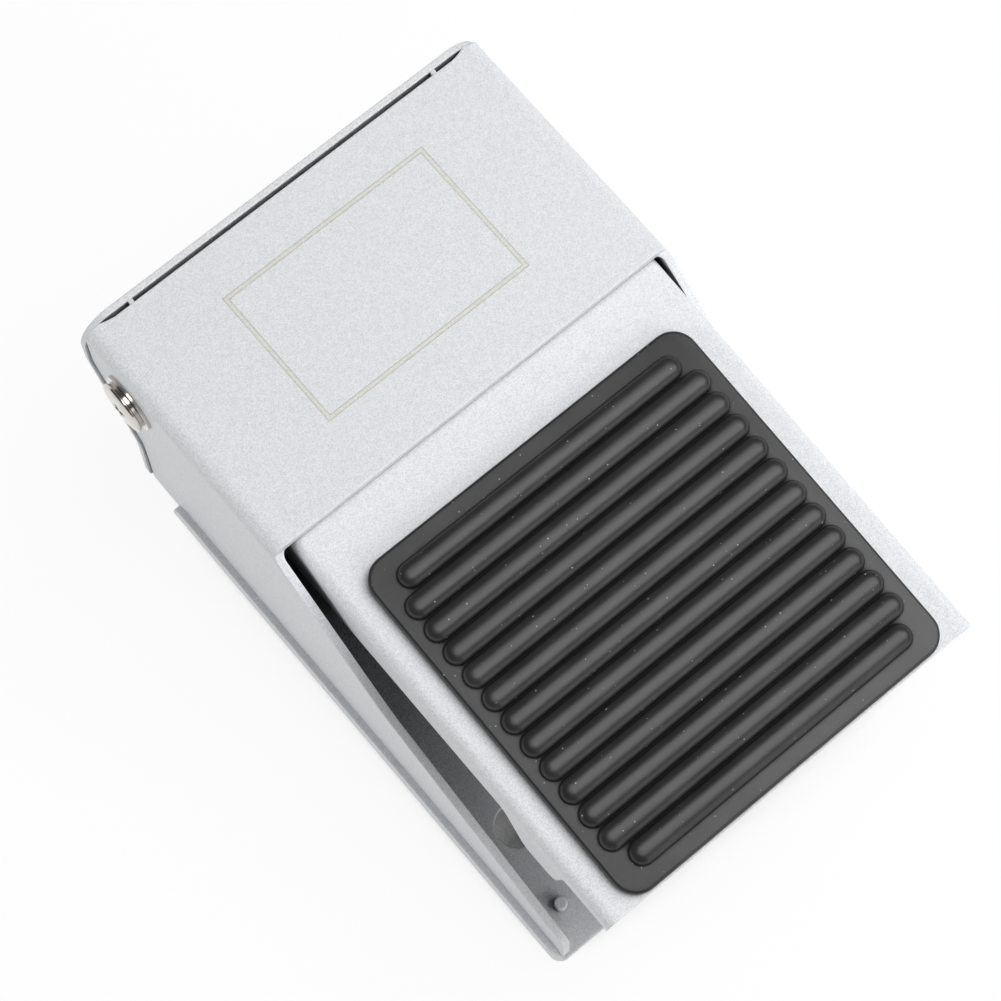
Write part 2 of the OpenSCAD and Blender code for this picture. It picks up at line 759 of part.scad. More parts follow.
module pivot_bushes() {
    flange_t = 1.2;
    color("goldenrod") translate([pedal_shift, 0, 0]) at_pivot() difference() {
        union() {
            bar(lug_out + bush_gap + pedal_shift, pedal_w / 2 + rest_gap, bush_r);
            bar(ear_in - flange_t, ear_in, ear_r);
        }
        bar(lug_out, cheek_in, shaft_r + run_gap);
    }
}

module spring_cup() {
    rim_h = 1;
    rim_t = 0.9;
    inside_r = spring_top_r + pedal_wire_r + stop_gap;
    color("silver") {
        at_spool(cup_under) cylinder(r = inside_r + rim_t, h = cup_t);
        at_spool(cup_under - rim_h) ring(inside_r, inside_r + rim_t, rim_h + cup_t / 2);
    }
}

module spool() {
    waist_in = 1.8;
    waist_r = bore_r - waist_in;
    color("gainsboro") at_spool(0) difference() {
        union() {
            translate([0, 0, spool_low]) cylinder(r = land_r, h = spool_top - spool_low);
            translate([0, 0, spool_low]) cylinder(r = stem_r, h = stem_top - spool_low);
        }
        for (i = [1, 3]) translate([0, 0, spool_low + i * land_h]) ring(waist_r, bore_r + cut, land_h);
        at_lands() translate([0, 0, -groove_w / 2]) ring(land_r - groove, bore_r + cut, groove_w);
        translate([0, 0, spool_low - cut]) cylinder(r = spring_recess_r, h = spring_recess + cut);
    }
}

// Places its children at the middle of each of the spool's three lands
module at_lands() {
    for (i = [0, 2, 4]) translate([0, 0, spool_low + (i + 0.5) * land_h]) children();
}

module spool_seals() {
    seal_w = groove_w - hole_gap;
    color("black") at_spool(0) at_lands() translate([0, 0, -seal_w / 2])
        ring(land_r - groove + seat_gap, bore_r - seat_gap, seal_w);
}

module push_cap() {
    dome = 8;
    color("white") at_spool(0) difference() {
        intersection() {
            translate([0, 0, cap_low]) cylinder(r = cap_r, h = cap_top - cap_low);
            translate([0, 0, cap_top - dome]) sphere(dome);
        }
        translate([0, 0, cap_low - cut]) cylinder(r = stem_r + seat_gap, h = stem_top - cap_low + cut);
    }
}

module spool_spring() {
    wire_r = 0.35;
    mean_r = spring_recess_r - wire_r - rest_gap;
    low = floor_top + plug_h + seat_gap;
    high = spool_low + spring_recess - seat_gap;
    color("silver") at_spool(0) coil(mean_r, mean_r, low, high, wire_r, 4);
}

module pedal_spring() {
    low = tower_top + seat_gap;
    high = cup_under - rest_gap;
    color("silver") at_spool(0) coil(spring_low_r, spring_top_r, low, high, pedal_wire_r, 4);
}

centred() base_plate();
centred() hood();
centred() valve_body();
centred() exhaust_silencers();
centred() gland_bush();
centred() circlip();
centred() wiper_ring();
centred() bottom_plug();
centred() plug_seal();
centred() valve_screws();
centred() pivot_shaft();
centred() pivot_screw();
centred() spring_washer();
centred() flat_washer();
centred() rubber_feet();
centred() foot_rivets();
centred() pedal_plate();
centred() tread_pad();
centred() pivot_bushes();
centred() spring_cup();
centred() spool();
centred() spool_seals();
centred() push_cap();
centred() spool_spring();
centred() pedal_spring();
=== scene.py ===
import json
from math import cos, pi, radians, sin

import bmesh
import bpy
from mathutils import Matrix, Vector


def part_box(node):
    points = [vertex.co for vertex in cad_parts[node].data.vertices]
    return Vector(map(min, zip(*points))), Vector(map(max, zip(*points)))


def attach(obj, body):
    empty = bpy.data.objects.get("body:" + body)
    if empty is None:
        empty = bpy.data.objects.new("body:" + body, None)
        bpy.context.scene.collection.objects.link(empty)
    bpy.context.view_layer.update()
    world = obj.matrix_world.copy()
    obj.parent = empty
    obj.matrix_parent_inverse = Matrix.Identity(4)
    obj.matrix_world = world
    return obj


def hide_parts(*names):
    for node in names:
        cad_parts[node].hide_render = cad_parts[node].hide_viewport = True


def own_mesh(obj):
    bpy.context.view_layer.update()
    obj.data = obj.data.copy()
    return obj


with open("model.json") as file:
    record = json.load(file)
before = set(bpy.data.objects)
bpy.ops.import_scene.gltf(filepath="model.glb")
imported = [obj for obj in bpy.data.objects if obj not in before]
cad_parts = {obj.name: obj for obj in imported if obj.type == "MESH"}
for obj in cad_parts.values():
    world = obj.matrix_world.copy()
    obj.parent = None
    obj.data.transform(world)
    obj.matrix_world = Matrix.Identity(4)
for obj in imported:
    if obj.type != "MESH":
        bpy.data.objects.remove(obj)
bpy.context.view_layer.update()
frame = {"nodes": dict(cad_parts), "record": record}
nodes = frame["nodes"]
scene = bpy.context.scene
scene.view_settings.view_transform = "Standard"
mm = 0.001
print("frame loaded with", len(nodes), "nodes")

# camera at the photograph's viewing angle, lengths in mm
cameraSet = {
    "azimuth": -39.43,
    "elevation": 71.9,
    "roll": -0.555,
    "aim": (-1.97, 2.974, 27.49),
    "distance": 436.2,
    "lens": 114.44,
    "clip": (10.0, 50000.0),
}


def makeCamera(values):
    turn, rise, roll = (radians(values[key]) for key in ("azimuth", "elevation", "roll"))
    back = Vector((sin(turn) * cos(rise), -cos(turn) * cos(rise), sin(rise)))
    level = Vector((cos(turn), sin(turn), 0))
    upright = back.cross(level)
    right = level * cos(roll) + upright * sin(roll)
    up = upright * cos(roll) - level * sin(roll)
    camera = bpy.data.objects.new("camera", bpy.data.cameras.new("camera"))
    scene.collection.objects.link(camera)
    camera.data.lens = values["lens"]
    camera.data.clip_start, camera.data.clip_end = (reach * mm for reach in values["clip"])
    place = (Vector(values["aim"]) + back * values["distance"]) * mm
    camera.matrix_world = Matrix.Translation(place) @ Matrix((right, up, back)).transposed().to_4x4()
    scene.camera = camera


makeCamera(cameraSet)
print("camera placed")


# small helpers for shader nodes, with sample counts and the normals' span that counts as an edge
shadingSet = {"bevelSamples": 6, "openSamples": 8, "edgeSpan": (0.995, 0.9)}


def addNode(tree, kind, inputs=None, **settings):
    made = tree.nodes.new("ShaderNode" + kind)
    for key, value in settings.items():
        setattr(made, key, value)
    for key, value in (inputs or {}).items():
        if isinstance(value, bpy.types.NodeSocket):
            tree.links.new(value, made.inputs[key])
        else:
            made.inputs[key].default_value = value
    return made


def mathNode(tree, operation, first, second):
    return addNode(tree, "Math", {0: first, 1: second}, operation=operation).outputs[0]


def rampNode(tree, factor, stops):
    made = addNode(tree, "ValToRGB", {"Fac": factor})
    elements = made.color_ramp.elements
    while len(elements) < len(stops):
        elements.new(0.5)
    for element, (place, color) in zip(elements, stops):
        element.position = place
        element.color = (*color, 1)
    return made.outputs["Color"]


def mixColors(tree, factor, first, second):
    made = addNode(tree, "Mix", data_type="RGBA")
    for socket, value in zip((made.inputs[0], made.inputs[6], made.inputs[7]), (factor, first, second)):
        if isinstance(value, bpy.types.NodeSocket):
            tree.links.new(value, socket)
        else:
            socket.default_value = value if isinstance(value, float) else (*value, 1)
    return made.outputs[2]


def seenRays(tree):
    path = addNode(tree, "LightPath")
    shiny = mathNode(tree, "MAXIMUM", path.outputs["Is Glossy Ray"], path.outputs["Is Transmission Ray"])
    return mathNode(tree, "MAXIMUM", path.outputs["Is Camera Ray"], shiny)


def startMaterial(name, values):
    material = bpy.data.materials.new(name)
    material.use_nodes = True
    shader = material.node_tree.nodes["Principled BSDF"]
    shader.inputs["Roughness"].default_value = values["roughness"]
    shader.inputs["Metallic"].default_value = values.get("metallic", 0)
    shader.inputs["Specular IOR Level"].default_value = values.get("specular", 0.5)
    shader.inputs["Base Color"].default_value = (*values["color"], 1)
    return material, material.node_tree, shader


def objectPlace(tree):
    return addNode(tree, "TexCoord").outputs["Object"]


def noise(tree, size, detail=3.0):
    inputs = {"Vector": objectPlace(tree), "Scale": 1 / (size * mm), "Detail": detail}
    return addNode(tree, "TexNoise", inputs).outputs["Fac"]


def roundedEdges(tree, radius):
    made = addNode(tree, "Bevel", {"Radius": radius * mm}, samples=shadingSet["bevelSamples"])
    return made.outputs["Normal"]


def rescaled(tree, value, span, low=0.0, high=1.0):
    inputs = {"Value": value, "From Min": span[0], "From Max": span[1], "To Min": low, "To Max": high}
    return addNode(tree, "MapRange", inputs).outputs["Result"]


def edgeMask(tree, rounded):
    true = addNode(tree, "NewGeometry").outputs["True Normal"]
    same = addNode(tree, "VectorMath", {0: rounded, 1: true}, operation="DOT_PRODUCT").outputs["Value"]
    return rescaled(tree, same, shadingSet["edgeSpan"])


def openPlaces(tree, reach, span, low=0.0, high=1.0, uprightGain=0.0):
    near = addNode(tree, "AmbientOcclusion", {"Distance": reach * mm}, samples=shadingSet["openSamples"])
    openness = near.outputs["AO"]
    if uprightGain:
        # upright faces count as a little more open than level ones
        true = addNode(tree, "NewGeometry").outputs["True Normal"]
        facing = addNode(tree, "SeparateXYZ", {"Vector": true})
        level = addNode(tree, "Math", {0: facing.outputs["Z"]}, operation="ABSOLUTE").outputs[0]
        gain = mathNode(tree, "MULTIPLY", mathNode(tree, "SUBTRACT", 1.0, level), uprightGain)
        openness = mathNode(tree, "ADD", openness, gain)
    return rescaled(tree, openness, span, low, high)


def bumped(tree, height, depth, normal=None):
    inputs = {"Height": height, "Distance": depth * mm, "Strength": 1.0}
    if normal is not None:
        inputs["Normal"] = normal
    return addNode(tree, "Bump", inputs).outputs["Normal"]


# floor, world and lamps
stageSet = {
    "floorSize": 8.0,
    "floorColor": (0.96, 0.96, 0.96),
    "bounceColor": (0.55, 0.55, 0.55),
    "shadowShare": 0.08,
    "shadeReach": 0.06,
    "shadeRange": (0.08, 0.5),
    "shadeSamples": 16,
    "ambient": 0.1,
    "wallHeight": (0.3, 0.17),
    "lamps": [
        # name, place in m, width and length in m, watts, shows in reflections
        ("topLamp", (0.24, -0.12, 0.72), 0.36, 0.7, 3.3, True),
        ("frontLamp", (0.2, -0.62, 0.4), 0.4, 0.45, 0.8, True),
        ("fillLamp", (0.2, -0.68, 0.26), 0.5, 0.3, 1.5, False),
        ("rightLamp", (0.34, 0.0, 0.32), 0.3, 0.3, 0.65, False),
        ("leftLamp", (-0.6, 0.15, 0.2), 0.4, 0.3, 1.7, False),
    ],
}


def makeStage(values):
    bpy.ops.mesh.primitive_plane_add(size=values["floorSize"])
    floor = bpy.context.object
    floor.name = "floor"
    material = bpy.data.materials.new("paleFloor")
    material.use_nodes = True
    tree = material.node_tree
    tree.nodes.remove(tree.nodes["Principled BSDF"])
    seen = seenRays(tree)
    tone = mixColors(tree, seen, values["bounceColor"], values["floorColor"])
    matt = addNode(tree, "BsdfDiffuse", {"Color": tone})
    # the floor's glow is white in the open and dimmed under the base, a painted shadow
    inputs = {"Distance": values["shadeReach"]}
    near = addNode(tree, "AmbientOcclusion", inputs, samples=values["shadeSamples"])
    openness = rescaled(tree, near.outputs["AO"], values["shadeRange"])
    glow = addNode(tree, "Emission", {"Color": (1, 1, 1, 1), "Strength": openness})
    share = mathNode(tree, "MULTIPLY", seen, 1 - values["shadowShare"])
    mixed = addNode(tree, "MixShader", {0: share, 1: matt.outputs[0], 2: glow.outputs[0]})
    tree.links.new(mixed.outputs[0], tree.nodes["Material Output"].inputs["Surface"])
    floor.data.materials.append(material)
    world = bpy.data.worlds.new("studio")
    world.use_nodes = True
    scene.world = world
    tree = world.node_tree
    background = tree.nodes["Background"]
    background.inputs["Color"].default_value = (1, 1, 1, 1)
    # a white wall is seen and mirrored round the floor's edge, it lights nothing else
    view = addNode(tree, "TexCoord").outputs["Generated"]
    height = addNode(tree, "SeparateXYZ", {"Vector": view}).outputs["Z"]
    wall = mathNode(tree, "MULTIPLY", rescaled(tree, height, values["wallHeight"]), seenRays(tree))
    strength = rescaled(tree, wall, (0.0, 1.0), values["ambient"], 1.0)
    tree.links.new(strength, background.inputs["Strength"])
    for name, place, width, length, power, shiny in values["lamps"]:
        lamp = bpy.data.objects.new(name, bpy.data.lights.new(name, "AREA"))
        lamp.data.shape = "RECTANGLE"
        lamp.data.size = width
        lamp.data.size_y = length
        lamp.data.energy = power
        lamp.visible_glossy = shiny
        lamp.location = place
        lamp.rotation_euler = (-Vector(place)).to_track_quat("-Z", "Y").to_euler()
        scene.collection.objects.link(lamp)


makeStage(stageSet)
print("floor, world and lamps made")

# silver paint with fine flakes, sizes in mm
paintSet = {
    "color": (0.735, 0.75, 0.77),
    "dark": (0.63, 0.645, 0.665),
    "light": (0.83, 0.845, 0.865),
    # painted highlight: colour and share of the near-white rounded edges
    "edge": (0.94, 0.94, 0.94),
    "edgeShare": 0.85,
    "gap": (0.08, 0.08, 0.085),
    "gapReach": 60.0,
    "gapRange": (0.13, 0.3),
    "uprightGain": 0.08,
    "roughness": 0.42,
    "specular": 0.35,
    "flake": 0.13,
    "sparkle": 0.16,
    "orangePeel": 0.9,
    "peelDepth": 0.006,
    "edgeRadius": 0.36,
}
# flat print, so its edges aren't rounded
inkSet = {**paintSet, "edgeRadius": 0.005}
frameFillSet = {
    **inkSet,
    "color": (0.69, 0.69, 0.67),
    "dark": (0.59, 0.59, 0.57),
    "light": (0.77, 0.77, 0.75),
}
frameLineSet = {
    **inkSet,
    "color": (0.53, 0.52, 0.46),
    "dark": (0.44, 0.43, 0.38),
    "light": (0.62, 0.61, 0.55),
}


def silverPaint(name, values):
    material, tree, shader = startMaterial(name, values)
    inputs = {"Vector": objectPlace(tree), "Scale": 1 / (values["flake"] * mm)}
    flakes = addNode(tree, "TexVoronoi", inputs).outputs["Color"]
    pick = addNode(tree, "SeparateColor", {"Color": flakes}).outputs[0]
    tint = rampNode(tree, pick, [(0, values["dark"]), (0.5, values["color"]), (1, values["light"])])
    rounded = roundedEdges(tree, values["edgeRadius"])
    # painted highlight: the rounded edges are painted near white
    paleEdges = mathNode(tree, "MULTIPLY", edgeMask(tree, rounded), values["edgeShare"])
    coated = mixColors(tree, paleEdges, tint, values["edge"])
    # deep gaps are shaded, the lamps alone leave them too light
    clear = openPlaces(tree, values["gapReach"], values["gapRange"], uprightGain=values["uprightGain"])
    tree.links.new(mixColors(tree, clear, values["gap"], coated), shader.inputs["Base Color"])
    # each flake leans its own way
    lean = addNode(tree, "VectorMath", {0: flakes, 1: (0.5, 0.5, 0.5)}, operation="SUBTRACT").outputs[0]
    inputs = {0: lean, "Scale": values["sparkle"]}
    scaled = addNode(tree, "VectorMath", inputs, operation="SCALE").outputs[0]
    soft = bumped(tree, noise(tree, values["orangePeel"]), values["peelDepth"], rounded)
    leaning = addNode(tree, "VectorMath", {0: soft, 1: scaled}, operation="ADD").outputs[0]
    normal = addNode(tree, "VectorMath", {0: leaning}, operation="NORMALIZE").outputs[0]
    tree.links.new(normal, shader.inputs["Normal"])
    return material


# dark moulded rubber with dust on it, sizes in mm
treadRubberSet = {
    "color": (0.022, 0.022, 0.023),
    "dark": (0.017, 0.017, 0.018),
    "light": (0.03, 0.029, 0.029),
    "dust": (0.5, 0.49, 0.48),
    "roughness": 0.34,
    "mottle": 5.0,
    "mottleStops": (0.3, 0.5, 0.75),
    "grain": 0.25,
    "grainDetail": 4.0,
    "grainDepth": 0.012,
    "dustPitch": 0.95,
    "dustSize": (0.04, 0.075),
    "dustShare": 0.35,
    "crevice": (0.003, 0.003, 0.003),
    "creviceReach": 1.0,
    "creviceRange": (0.35, 0.8),
    "creviceRoughness": 1.0,
    "edgeRadius": 0.1,
}
footRubberSet = {**treadRubberSet, "roughness": 0.6, "dustShare": 0.95}
sealRubberSet = {**footRubberSet, "roughness": 0.35, "grainDepth": 0.003}


def rubber(name, values):
    material, tree, shader = startMaterial(name, values)
    tones = (values["dark"], values["color"], values["light"])
    tint = rampNode(tree, noise(tree, values["mottle"]), list(zip(values["mottleStops"], tones)))
    inputs = {"Vector": objectPlace(tree), "Scale": 1 / (values["dustPitch"] * mm)}
    specks = addNode(tree, "TexVoronoi", inputs)
    chance = addNode(tree, "SeparateColor", {"Color": specks.outputs["Color"]})
    least, spread = values["dustSize"]
    size = mathNode(tree, "MULTIPLY_ADD", chance.outputs[1], spread)
    size.node.inputs[2].default_value = least
    inside = mathNode(tree, "LESS_THAN", specks.outputs["Distance"], size)
    chosen = mathNode(tree, "GREATER_THAN", chance.outputs[0], values["dustShare"])
    dusty = mathNode(tree, "MULTIPLY", mathNode(tree, "MULTIPLY", inside, chosen), chance.outputs[2])
    # grooves get rougher, and painted shade darkens their colour
    reach, span = values["creviceReach"], values["creviceRange"]
    dulled = openPlaces(tree, reach, span, values["creviceRoughness"], values["roughness"])
    tree.links.new(dulled, shader.inputs["Roughness"])
    # painted shade: the colour goes near black in the grooves
    clear = openPlaces(tree, reach, span)
    dusted = mixColors(tree, dusty, tint, values["dust"])
    tree.links.new(mixColors(tree, clear, values["crevice"], dusted), shader.inputs["Base Color"])
    grain = noise(tree, values["grain"], values["grainDetail"])
    rounded = roundedEdges(tree, values["edgeRadius"])
    tree.links.new(bumped(tree, grain, values["grainDepth"], rounded), shader.inputs["Normal"])
    return material


# bare and plated metals, sizes in mm
platedSet = {"color": (0.66, 0.62, 0.58), "roughness": 0.16, "grain": 0.5, "depth": 0.002, "edge": 0.12}
shaftSet = {"color": (0.6, 0.61, 0.63), "roughness": 0.3, "grain": 0.3, "depth": 0.003, "edge": 0.15}
springSet = {"color": (0.5, 0.5, 0.52), "roughness": 0.3, "grain": 0.2, "depth": 0.004, "edge": 0.05}
castSet = {"color": (0.62, 0.63, 0.64), "roughness": 0.5, "grain": 0.22, "depth": 0.018, "edge": 0.25}
turnedSet = {"color": (0.75, 0.75, 0.76), "roughness": 0.26, "grain": 0.3, "depth": 0.003, "edge": 0.1}
brassSet = {"color": (0.72, 0.52, 0.22), "roughness": 0.28, "grain": 0.4, "depth": 0.003, "edge": 0.12}
bronzeSet = {"color": (0.5, 0.33, 0.16), "roughness": 0.55, "grain": 0.3, "depth": 0.05, "edge": 0.1}
# the same for all metals: patchy tone, paler edges and painted shade in the crevices
metalSet = {
    "patch": 2.5,
    "patchRange": (0.3, 0.7),
    "patchTone": (0.86, 1.08),
    "patchRoughness": (0.8, 1.25),
    "edgeShare": 0.5,
    "edgePale": 0.35,
    "creviceReach": 1.2,
    "creviceRange": (0.15, 0.6),
    "creviceTone": 0.12,
}


def metal(name, values, shared=metalSet):
    material, tree, shader = startMaterial(name, {**values, "metallic": 1.0})
    color = Vector(values["color"])
    patch = noise(tree, shared["patch"])
    (patchLow, patchHigh), (toneLow, toneHigh) = shared["patchRange"], shared["patchTone"]
    tint = rampNode(tree, patch, [(patchLow, color * toneLow), (patchHigh, color * toneHigh)])
    rounded = roundedEdges(tree, values["edge"])
    paleEdges = mathNode(tree, "MULTIPLY", edgeMask(tree, rounded), shared["edgeShare"])
    bright = mixColors(tree, paleEdges, tint, color.lerp(Vector((1, 1, 1)), shared["edgePale"]))
    # painted shade: the colour goes dark in the crevices
    clear = openPlaces(tree, shared["creviceReach"], shared["creviceRange"])
    shaded = mixColors(tree, clear, color * shared["creviceTone"], bright)
    tree.links.new(shaded, shader.inputs["Base Color"])
    low, high = (values["roughness"] * share for share in shared["patchRoughness"])
    tree.links.new(rescaled(tree, patch, shared["patchRange"], low, high), shader.inputs["Roughness"])
    grain = noise(tree, values["grain"])
    tree.links.new(bumped(tree, grain, values["depth"], rounded), shader.inputs["Normal"])
    return material


# moulded plastic of the push cap, sizes in mm
nylonSet = {
    "color": (0.78, 0.77, 0.72),
    "roughness": 0.45,
    "mottle": 1.5,
    "mottleRange": (0.35, 0.65),
    "mottleTone": 0.93,
    "grain": 0.15,
    "depth": 0.004,
    "edge": 0.15,
    "glow": 0.1,
    "glowReach": (1.0, 1.0, 0.8),
}


def nylon(values):
    material, tree, shader = startMaterial("nylon", values)
    color = Vector(values["color"])
    (low, high), tone = values["mottleRange"], values["mottleTone"]
    tint = rampNode(tree, noise(tree, values["mottle"]), [(low, color * tone), (high, color)])
    tree.links.new(tint, shader.inputs["Base Color"])
    shader.inputs["Subsurface Weight"].default_value = values["glow"]
    shader.inputs["Subsurface Radius"].default_value = [reach * mm for reach in values["glowReach"]]
    grain = noise(tree, values["grain"])
    rounded = roundedEdges(tree, values["edge"])
    tree.links.new(bumped(tree, grain, values["depth"], rounded), shader.inputs["Normal"])
    return material


finishes = {
    "silver_paint": silverPaint("silverPaint", paintSet),
    "tread_rubber": rubber("treadRubber", treadRubberSet),
    "foot_rubber": rubber("footRubber", footRubberSet),
    "seal_rubber": rubber("sealRubber", sealRubberSet),
    "plated_steel": metal("platedSteel", platedSet),
    "shaft_steel": metal("shaftSteel", shaftSet),
    "spring_steel": metal("springSteel", springSet),
    "cast_aluminium": metal("castAluminium", castSet),
    "turned_aluminium": metal("turnedAluminium", turnedSet),
    "brass": metal("brass", brassSet),
    "sintered_bronze": metal("sinteredBronze", bronzeSet),
    "nylon": nylon(nylonSet),
}
for part in frame["record"]["subparts"]:
    mesh = nodes[part["node"]].data
    mesh.materials.clear()
    mesh.materials.append(finishes[part["material_slot"]])
print("finishes set on", len(nodes), "nodes")


# small helpers for meshes, lengths in m and angles in degrees
meshSet = {"mergeGap": 1e-7, "sharpAngle": 40}


def addPiece(name, verts, faces, slotName, body, smooth=True):
    mesh = bpy.data.meshes.new(name)
    mesh.from_pydata([tuple(v) for v in verts], [], faces)
    bm = bmesh.new()
    bm.from_mesh(mesh)
    bmesh.ops.remove_doubles(bm, verts=bm.verts, dist=meshSet["mergeGap"])
    bmesh.ops.recalc_face_normals(bm, faces=bm.faces)
    bm.to_mesh(mesh)
    bm.free()
    piece = bpy.data.objects.new(name, mesh)
    scene.collection.objects.link(piece)
    mesh.materials.append(finishes[slotName])
    if smooth:
        mesh.shade_smooth()
        mesh.set_sharp_from_angle(angle=radians(meshSet["sharpAngle"]))
    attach(piece, body)
    return piece


def bridgeRings(rings, capped=True):
    count = len(rings[0])
    verts = [point for ring in rings for point in ring]
    faces = []
    for row in range(len(rings) - 1):
        for k in range(count):
            a, b = row * count + k, row * count + (k + 1) % count
            faces.append((a, b, b + count, a + count))
    if capped:
        faces.append(tuple(reversed(range(count))))
        faces.append(tuple(range(len(verts) - count, len(verts))))
    return verts, faces


def joinMeshes(parts):
    verts, faces = [], []
    for partVerts, partFaces in parts:
        start = len(verts)
        verts += partVerts
        faces += [tuple(start + k for k in face) for face in partFaces]
    return verts, faces


def roundRect(halfW, halfL, r, steps, z):
    ring = []
    for quarter, (sx, sy) in enumerate(((1, 1), (-1, 1), (-1, -1), (1, -1))):
        for k in range(steps + 1):
            angle = (quarter + k / steps) * pi / 2
            x, y = sx * (halfW - r) + r * cos(angle), sy * (halfL - r) + r * sin(angle)
            ring.append(Vector((x, y, z)))
    return ring


# ribbed rubber pad on the pedal, sizes in mm
padSet = {
    "tilt": 6.1,
    "inset": 0.3,
    "length": 55.7,
    "thick": 1.4,
    "corner": 3.6,
    "edgeRound": 0.45,
    "undercut": 0.35,
    "undercutHeight": 0.4,
    "ribs": 13,
    "ribPitch": 3.9,
    "ribHalf": 1.84,
    "ribHeight": 1.3,
    "ribBulge": 0.8,
    "ribMargin": 1.8,
    "ribShort": 1.8,
    "ribSink": 0.2,
    "ribTop": 9 / 9.2,  # share of a quarter turn, leaves a small flat crest
    "ribEnd": 0.999,  # share of a full half circle
    "floorGap": 0.03,
    "frontBand": 0.01,
    "cornerSteps": 10,
    "edgeSteps": 5,
    "ribSteps": 9,
}


def makePad(values):
    low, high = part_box("tread_pad")
    width = (high.x - low.x) / mm
    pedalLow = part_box("pedal_plate")[0]
    reach = pedalLow.y + values["frontBand"] * mm
    front = [v.co.z for v in nodes["pedal_plate"].data.vertices if v.co.y < reach]
    place = Matrix.Translation(((low.x + high.x) / 2, pedalLow.y, max(front)))
    place = place @ Matrix.Rotation(radians(values["tilt"]), 4, "X")
    middle = values["inset"] + values["length"] / 2
    halfW, halfL = width / 2, values["length"] / 2
    edge, thick, steps = values["edgeRound"], values["thick"], values["cornerSteps"]
    levels = [(values["floorGap"], values["undercut"]), (values["undercutHeight"], 0)]
    for k in range(values["edgeSteps"] + 1):
        angle = k / values["edgeSteps"] * pi / 2
        levels.append((thick - edge + edge * sin(angle), edge * (1 - cos(angle))))
    slab = []
    for height, inset in levels:
        slab.append(roundRect(halfW - inset, halfL - inset, values["corner"] - inset, steps, height))
    parts = [bridgeRings(slab)]
    for i in range(values["ribs"]):
        offset = (i - (values["ribs"] - 1) / 2) * values["ribPitch"]
        short = values["ribShort"] if i in (0, values["ribs"] - 1) else 0
        ribHalfL = halfW - values["ribMargin"] - short
        rings = []
        for k in range(-1, values["ribSteps"] + 1):
            angle = max(k, 0) / values["ribSteps"] * values["ribTop"] * pi / 2
            half = values["ribHalf"] * cos(angle) ** values["ribBulge"]
            rise = values["ribHeight"] * sin(angle) ** values["ribBulge"]
            height = -values["ribSink"] if k < 0 else rise
            straight = ribHalfL - values["ribHalf"] + half
            ring = roundRect(straight, half, half * values["ribEnd"], steps, thick + height)
            rings.append([point + Vector((0, offset, 0)) for point in ring])
        parts.append(bridgeRings(rings))
    verts, faces = joinMeshes(parts)
    placed = [place @ ((point + Vector((0, middle, 0))) * mm) for point in verts]
    pad = addPiece("treadPad", placed, faces, "tread_rubber", "pedal")
    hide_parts("tread_pad")


makePad(padSet)
print("tread pad made")

# coil springs, sizes in mm
springSets = {
    "pedal_spring": {
        "lowRadius": 9.4,
        "highRadius": 6.4,
        "wire": 0.5,
        "turns": 4,
        "joint": "pedal_hinge",
        "keep": 0.27,
    },
    "spool_spring": {
        "lowRadius": 2.65,
        "highRadius": 2.65,
        "wire": 0.35,
        "turns": 4,
        "joint": "spool_slide",
        "keep": 0.42,
    },
}


def makeSpring(node, values, stepsPerTurn=36, sides=12, endTurns=0.75):
    low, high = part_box(node)
    middle = (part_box("spool")[0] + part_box("spool")[1]) / 2
    wire, turns = values["wire"], values["turns"]
    bottom, top = low.z / mm + wire, high.z / mm - wire
    closed = endTurns / turns
    rings = []
    for i in range(turns * stepsPerTurn + 1):
        share = i / (turns * stepsPerTurn)
        rise = min(max((share - closed) / (1 - 2 * closed), 0), 1)
        radius = values["lowRadius"] + (values["highRadius"] - values["lowRadius"]) * share
        turn = 2 * pi * turns * share
        ring = []
        for k in range(sides):
            angle = 2 * pi * k / sides
            out = radius + wire * cos(angle)
            height = bottom + (top - bottom) * rise + wire * sin(angle)
            x, y = middle.x + out * cos(turn) * mm, middle.y + out * sin(turn) * mm
            ring.append(Vector((x, y, height * mm)))
        rings.append(ring)
    piece = addPiece(node.replace("_spring", "Coil"), *bridgeRings(rings), "spring_steel", "frame")
    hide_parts(node)
    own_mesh(piece)


for springNode, springValues in springSets.items():
    makeSpring(springNode, springValues)
print("springs made")

# low cross-recess screw on the left cheek, sizes in mm
pivotScrewSet = {
    "headRadius": 4.0,
    "headHeight": 0.9,
    "rim": 0.35,
    "rimRound": 0.1,
    "domeSteps": 12,
    "domePower": 0.8,
    "shankRadius": 2.0,
    "tipShare": 0.8,
    "tipLength": 0.5,
    "hub": 0.0001,
    "crossLength": 3.6,
    "crossWidth": 0.8,
    "crossDepth": 0.6,
    "crossSpread": (0.45, 1.1),
    "crossTaper": 0.25,
    "cutAbove": 0.5,
    "turn": 28,
}


def latheRings(profile, steps=48):
    angles = [2 * pi * k / steps for k in range(steps)]
    return [[Vector((r * cos(angle), r * sin(angle), z)) for angle in angles] for r, z in profile]


def crossCutter(values):
    parts = []
    height, taper = values["headHeight"], values["crossTaper"]
    levels = (height - values["crossDepth"], height + values["cutAbove"])
    for turn in (0, pi / 2):
        spin = Matrix.Rotation(turn, 3, "Z")
        rings = []
        for z, share in zip(levels, values["crossSpread"]):
            halfL = values["crossLength"] / 2 * share
            halfW = values["crossWidth"] / 2 * (1 - taper + taper * share)
            corners = ((halfL, halfW), (-halfL, halfW), (-halfL, -halfW), (halfL, -halfW))
            rings.append([spin @ Vector((x, y, z)) for x, y in corners])
        parts.append(bridgeRings(rings))
    return parts


def looseMesh(name, verts, faces):
    mesh = bpy.data.meshes.new(name)
    mesh.from_pydata([tuple(v) for v in verts], [], faces)
    made = bpy.data.objects.new(name, mesh)
    scene.collection.objects.link(made)
    return made


